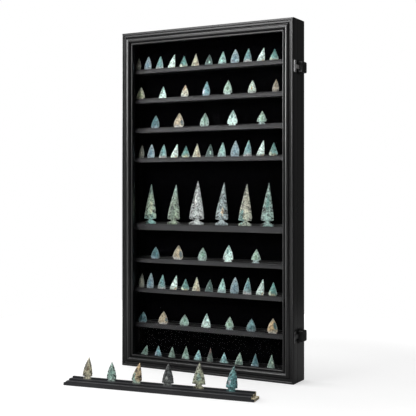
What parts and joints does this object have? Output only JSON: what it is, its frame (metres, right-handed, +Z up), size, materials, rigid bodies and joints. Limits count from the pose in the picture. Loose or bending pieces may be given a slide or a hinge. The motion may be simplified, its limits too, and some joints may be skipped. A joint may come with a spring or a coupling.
{
  "type": "collector display case",
  "caption": "Shallow upright display case with grooved shelves, a hinged glazed door, two side key locks, stone points and one shelf taken out.",
  "frame": {"origin": "middle of the foot of the case, on the surface that it stands on", "axes": "+Z up, +Y from the door to the back, +X from the hinges to the locks"},
  "size_m": [0.4209, 0.275, 0.72],
  "materials": {
    "black_paint": "satin black paint on wood",
    "black_felt": "black felt",
    "clear_sheet": "clear polished sheet",
    "black_metal": "black plated metal",
    "steel": "zinc plated steel",
    "stone": "flaked stone in greens, greys and tans"
  },
  "bodies": {
    "case": {"case_side_left": "black_paint", "case_side_right": "black_paint", "case_bottom": "black_paint", "case_top": "black_paint", "back_panel": "black_paint", "back_lining": "black_felt", "shelf_1": "black_paint", "shelf_2": "black_paint", "shelf_3": "black_paint", "shelf_4": "black_paint", "shelf_5": "black_paint", "shelf_6": "black_paint", "shelf_7": "black_paint", "shelf_8": "black_paint", "shelf_9": "black_paint", "upper_hinge_case_leaf": "black_metal", "upper_hinge_pin": "black_metal", "lower_hinge_case_leaf": "black_metal", "lower_hinge_pin": "black_metal", "upper_lock_housing": "black_metal", "upper_housing_screw_1": "steel", "upper_housing_screw_2": "steel", "lower_lock_housing": "black_metal", "lower_housing_screw_1": "steel", "lower_housing_screw_2": "steel", "hanger_left": "steel", "hanger_right": "steel", "spear_point_1": "stone", "spear_point_2": "stone", "spear_point_3": "stone", "spear_point_4": "stone", "spear_point_5": "stone", "spear_point_6": "stone"},
    "door": {"door_stile_left": "black_paint", "door_stile_right": "black_paint", "door_rail_bottom": "black_paint", "door_rail_top": "black_paint", "glazing_strip_left": "black_paint", "glazing_strip_right": "black_paint", "glazing_strip_bottom": "black_paint", "glazing_strip_top": "black_paint", "door_glazing": "clear_sheet", "upper_hinge_door_leaf": "black_metal", "lower_hinge_door_leaf": "black_metal", "upper_lock_strike": "black_metal", "upper_strike_screw_1": "steel", "upper_strike_screw_2": "steel", "lower_lock_strike": "black_metal", "lower_strike_screw_1": "steel", "lower_strike_screw_2": "steel"},
    "upper_lock": {"upper_lock_core": "black_metal"},
    "lower_lock": {"lower_lock_core": "black_metal"},
    "loose_shelf_set": {"loose_shelf": "black_paint", "loose_point_1": "stone", "loose_point_2": "stone", "loose_point_3": "stone", "loose_point_4": "stone", "loose_point_5": "stone", "loose_point_6": "stone"}
  },
  "joints": [
    {"name": "door_swing", "type": "hinge", "parent": "case", "child": "door", "pos_m": [-0.2054, -0.0081, 0.36], "axis": [0, 0, -1], "range_deg": [0, 170]},
    {"name": "upper_lock_turn", "type": "hinge", "parent": "case", "child": "upper_lock", "pos_m": [0.21, 0.0063, 0.6245], "axis": [1, 0, 0], "range_deg": [0, 90]},
    {"name": "lower_lock_turn", "type": "hinge", "parent": "case", "child": "lower_lock", "pos_m": [0.21, 0.0063, 0.092], "axis": [1, 0, 0], "range_deg": [0, 90]},
    {"name": "loose_shelf_slide", "type": "slide", "parent": "case", "child": "loose_shelf_set", "axis": [0, -1, 0], "range_m": [0, 0.63]}
  ],
  "couplings": [
    {"joint": "loose_shelf_slide", "follows": "door_swing", "m_per_rad": 0.21}
  ]
}
